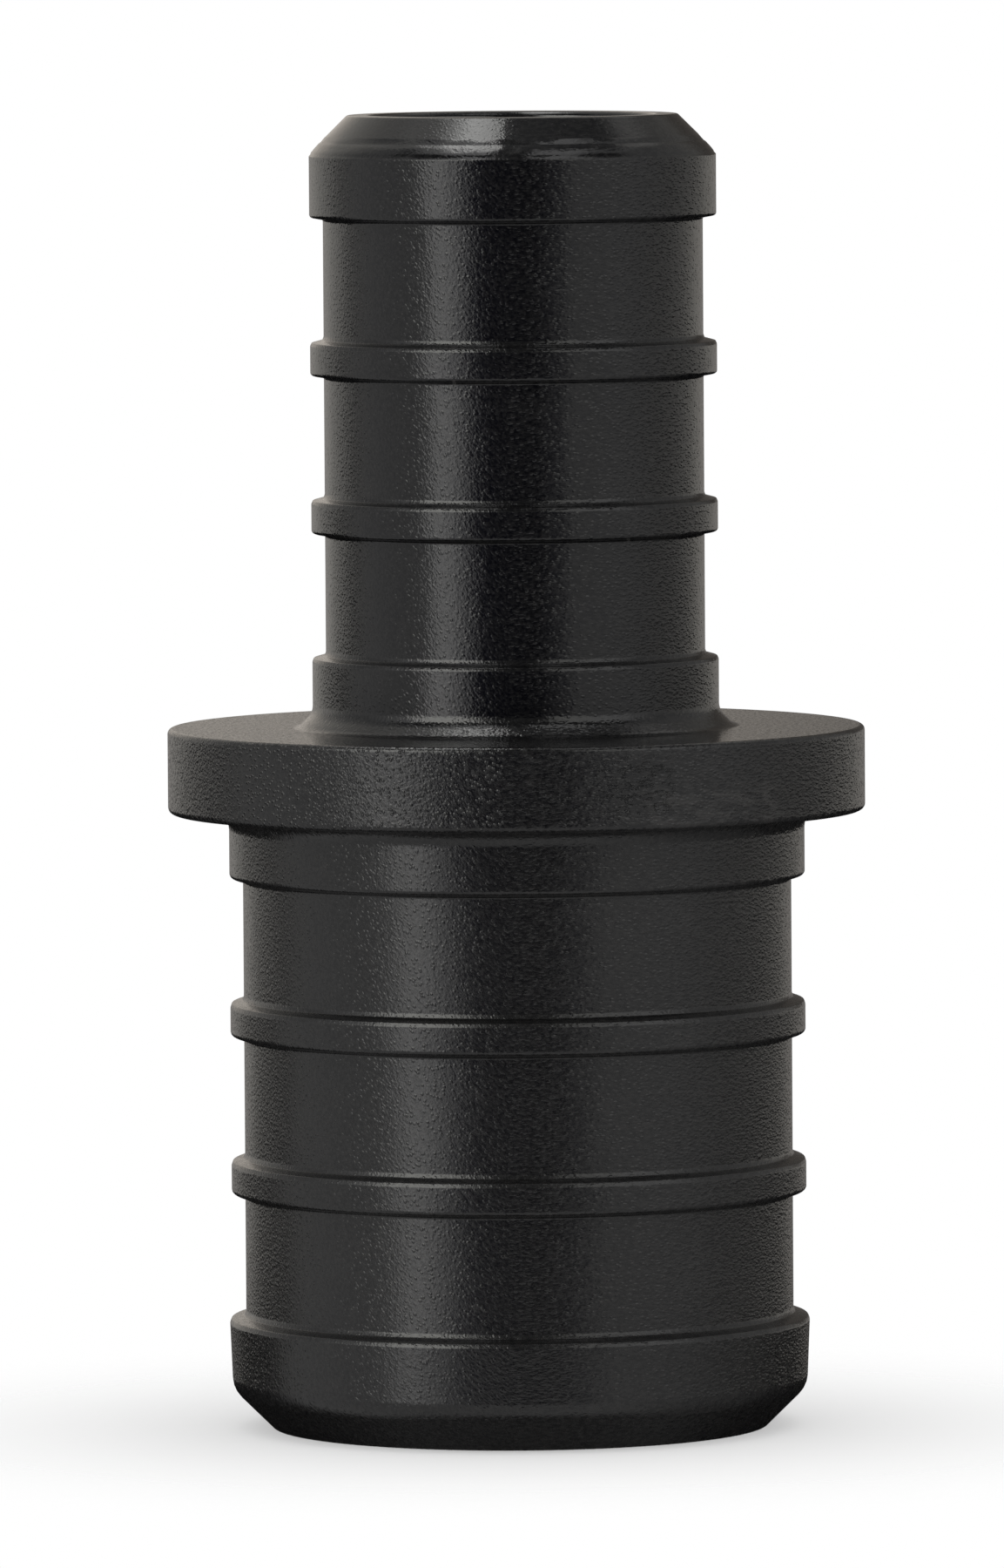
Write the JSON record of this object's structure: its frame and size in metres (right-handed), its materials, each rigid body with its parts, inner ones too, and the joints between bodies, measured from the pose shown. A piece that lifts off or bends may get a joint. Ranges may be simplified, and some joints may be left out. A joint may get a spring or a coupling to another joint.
{
  "type": "hose barb reducer",
  "caption": "Straight reducer for plastic tube: a ribbed insert at each end, the lower one larger, a flange between them as the tube stop, and a through waterway.",
  "frame": {"origin": "centre of the large end's face, on which the part stands", "axes": "+Z along the waterway, from the large insert to the small one; X runs across the mould's parting line, which lies in the YZ plane"},
  "size_m": [0.0206, 0.0206, 0.0388],
  "materials": {
    "black_polymer": "injection-moulded engineering polymer with a fine spark-eroded matte texture"
  },
  "bodies": {
    "root": {"reducer_body": "black_polymer"}
  },
  "joints": []
}
